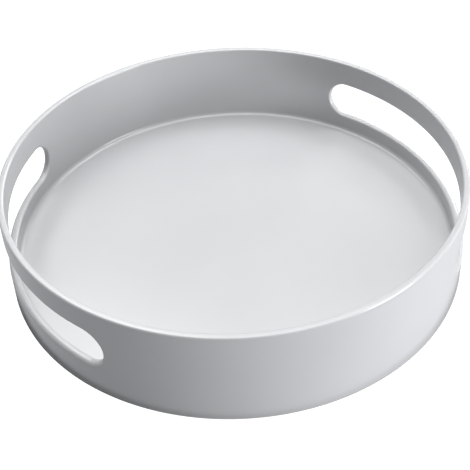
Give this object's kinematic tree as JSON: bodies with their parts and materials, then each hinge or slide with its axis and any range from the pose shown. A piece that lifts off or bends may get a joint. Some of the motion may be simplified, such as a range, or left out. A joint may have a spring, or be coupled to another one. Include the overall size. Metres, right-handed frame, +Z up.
{
  "type": "lazy susan turntable",
  "caption": "Round light grey tray with a tall vertical wall and long finger slots, turning on a ring of steel balls above a flat fixed base with soft feet.",
  "frame": {"origin": "on the surface that the feet stand on, under the middle of the tray", "axes": "+Z up along the axis that the tray turns about; the finger slots lie on the X axis"},
  "size_m": [0.292, 0.292, 0.07],
  "materials": {
    "tray_plastic": "glossy moulded, very light cool grey",
    "base_plastic": "satin moulded, light grey",
    "cage_plastic": "natural moulded, off-white",
    "bush_plastic": "natural moulded, slippery",
    "ball_steel": "ground and polished",
    "zinc_steel": "zinc plated",
    "foot_rubber": "matt soft grey"
  },
  "bodies": {
    "base": {"base_disc": "base_plastic", "pivot_bush": "bush_plastic", "pivot_cap": "base_plastic", "foot_1": "foot_rubber", "foot_2": "foot_rubber", "foot_3": "foot_rubber", "foot_4": "foot_rubber", "foot_5": "foot_rubber", "foot_6": "foot_rubber"},
    "tray": {"tray": "tray_plastic", "pivot_washer": "zinc_steel", "pivot_screw": "zinc_steel"},
    "cage": {"ball_cage": "cage_plastic"},
    "ball_1": {"ball_1": "ball_steel"},
    "ball_2": {"ball_2": "ball_steel"},
    "ball_3": {"ball_3": "ball_steel"},
    "ball_4": {"ball_4": "ball_steel"},
    "ball_5": {"ball_5": "ball_steel"},
    "ball_6": {"ball_6": "ball_steel"},
    "ball_7": {"ball_7": "ball_steel"},
    "ball_8": {"ball_8": "ball_steel"},
    "ball_9": {"ball_9": "ball_steel"},
    "ball_10": {"ball_10": "ball_steel"},
    "ball_11": {"ball_11": "ball_steel"},
    "ball_12": {"ball_12": "ball_steel"}
  },
  "joints": [
    {"name": "tray_spin", "type": "hinge", "parent": "base", "child": "tray", "pos_m": [0, 0, 0.0115], "axis": [0, 0, 1], "continuous": true},
    {"name": "cage_spin", "type": "hinge", "parent": "base", "child": "cage", "pos_m": [0, 0, 0.00775], "axis": [0, 0, 1], "continuous": true},
    {"name": "ball_1_roll", "type": "hinge", "parent": "cage", "child": "ball_1", "pos_m": [0.075, 0, 0.00775], "axis": [1, 0, 0], "continuous": true},
    {"name": "ball_2_roll", "type": "hinge", "parent": "cage", "child": "ball_2", "pos_m": [0.06495, 0.0375, 0.00775], "axis": [0.866, 0.5, 0], "continuous": true},
    {"name": "ball_3_roll", "type": "hinge", "parent": "cage", "child": "ball_3", "pos_m": [0.0375, 0.06495, 0.00775], "axis": [0.5, 0.866, 0], "continuous": true},
    {"name": "ball_4_roll", "type": "hinge", "parent": "cage", "child": "ball_4", "pos_m": [0, 0.075, 0.00775], "axis": [0, 1, 0], "continuous": true},
    {"name": "ball_5_roll", "type": "hinge", "parent": "cage", "child": "ball_5", "pos_m": [-0.0375, 0.06495, 0.00775], "axis": [-0.5, 0.866, 0], "continuous": true},
    {"name": "ball_6_roll", "type": "hinge", "parent": "cage", "child": "ball_6", "pos_m": [-0.06495, 0.0375, 0.00775], "axis": [-0.866, 0.5, 0], "continuous": true},
    {"name": "ball_7_roll", "type": "hinge", "parent": "cage", "child": "ball_7", "pos_m": [-0.075, 0, 0.00775], "axis": [-1, 0, 0], "continuous": true},
    {"name": "ball_8_roll", "type": "hinge", "parent": "cage", "child": "ball_8", "pos_m": [-0.06495, -0.0375, 0.00775], "axis": [-0.866, -0.5, 0], "continuous": true},
    {"name": "ball_9_roll", "type": "hinge", "parent": "cage", "child": "ball_9", "pos_m": [-0.0375, -0.06495, 0.00775], "axis": [-0.5, -0.866, 0], "continuous": true},
    {"name": "ball_10_roll", "type": "hinge", "parent": "cage", "child": "ball_10", "pos_m": [0, -0.075, 0.00775], "axis": [0, -1, 0], "continuous": true},
    {"name": "ball_11_roll", "type": "hinge", "parent": "cage", "child": "ball_11", "pos_m": [0.0375, -0.06495, 0.00775], "axis": [0.5, -0.866, 0], "continuous": true},
    {"name": "ball_12_roll", "type": "hinge", "parent": "cage", "child": "ball_12", "pos_m": [0.06495, -0.0375, 0.00775], "axis": [0.866, -0.5, 0], "continuous": true}
  ],
  "couplings": [
    {"joint": "cage_spin", "follows": "tray_spin", "ratio": 0.5},
    {"joint": "ball_1_roll", "follows": "tray_spin", "ratio": -12.5},
    {"joint": "ball_2_roll", "follows": "tray_spin", "ratio": -12.5},
    {"joint": "ball_3_roll", "follows": "tray_spin", "ratio": -12.5},
    {"joint": "ball_4_roll", "follows": "tray_spin", "ratio": -12.5},
    {"joint": "ball_5_roll", "follows": "tray_spin", "ratio": -12.5},
    {"joint": "ball_6_roll", "follows": "tray_spin", "ratio": -12.5},
    {"joint": "ball_7_roll", "follows": "tray_spin", "ratio": -12.5},
    {"joint": "ball_8_roll", "follows": "tray_spin", "ratio": -12.5},
    {"joint": "ball_9_roll", "follows": "tray_spin", "ratio": -12.5},
    {"joint": "ball_10_roll", "follows": "tray_spin", "ratio": -12.5},
    {"joint": "ball_11_roll", "follows": "tray_spin", "ratio": -12.5},
    {"joint": "ball_12_roll", "follows": "tray_spin", "ratio": -12.5}
  ]
}
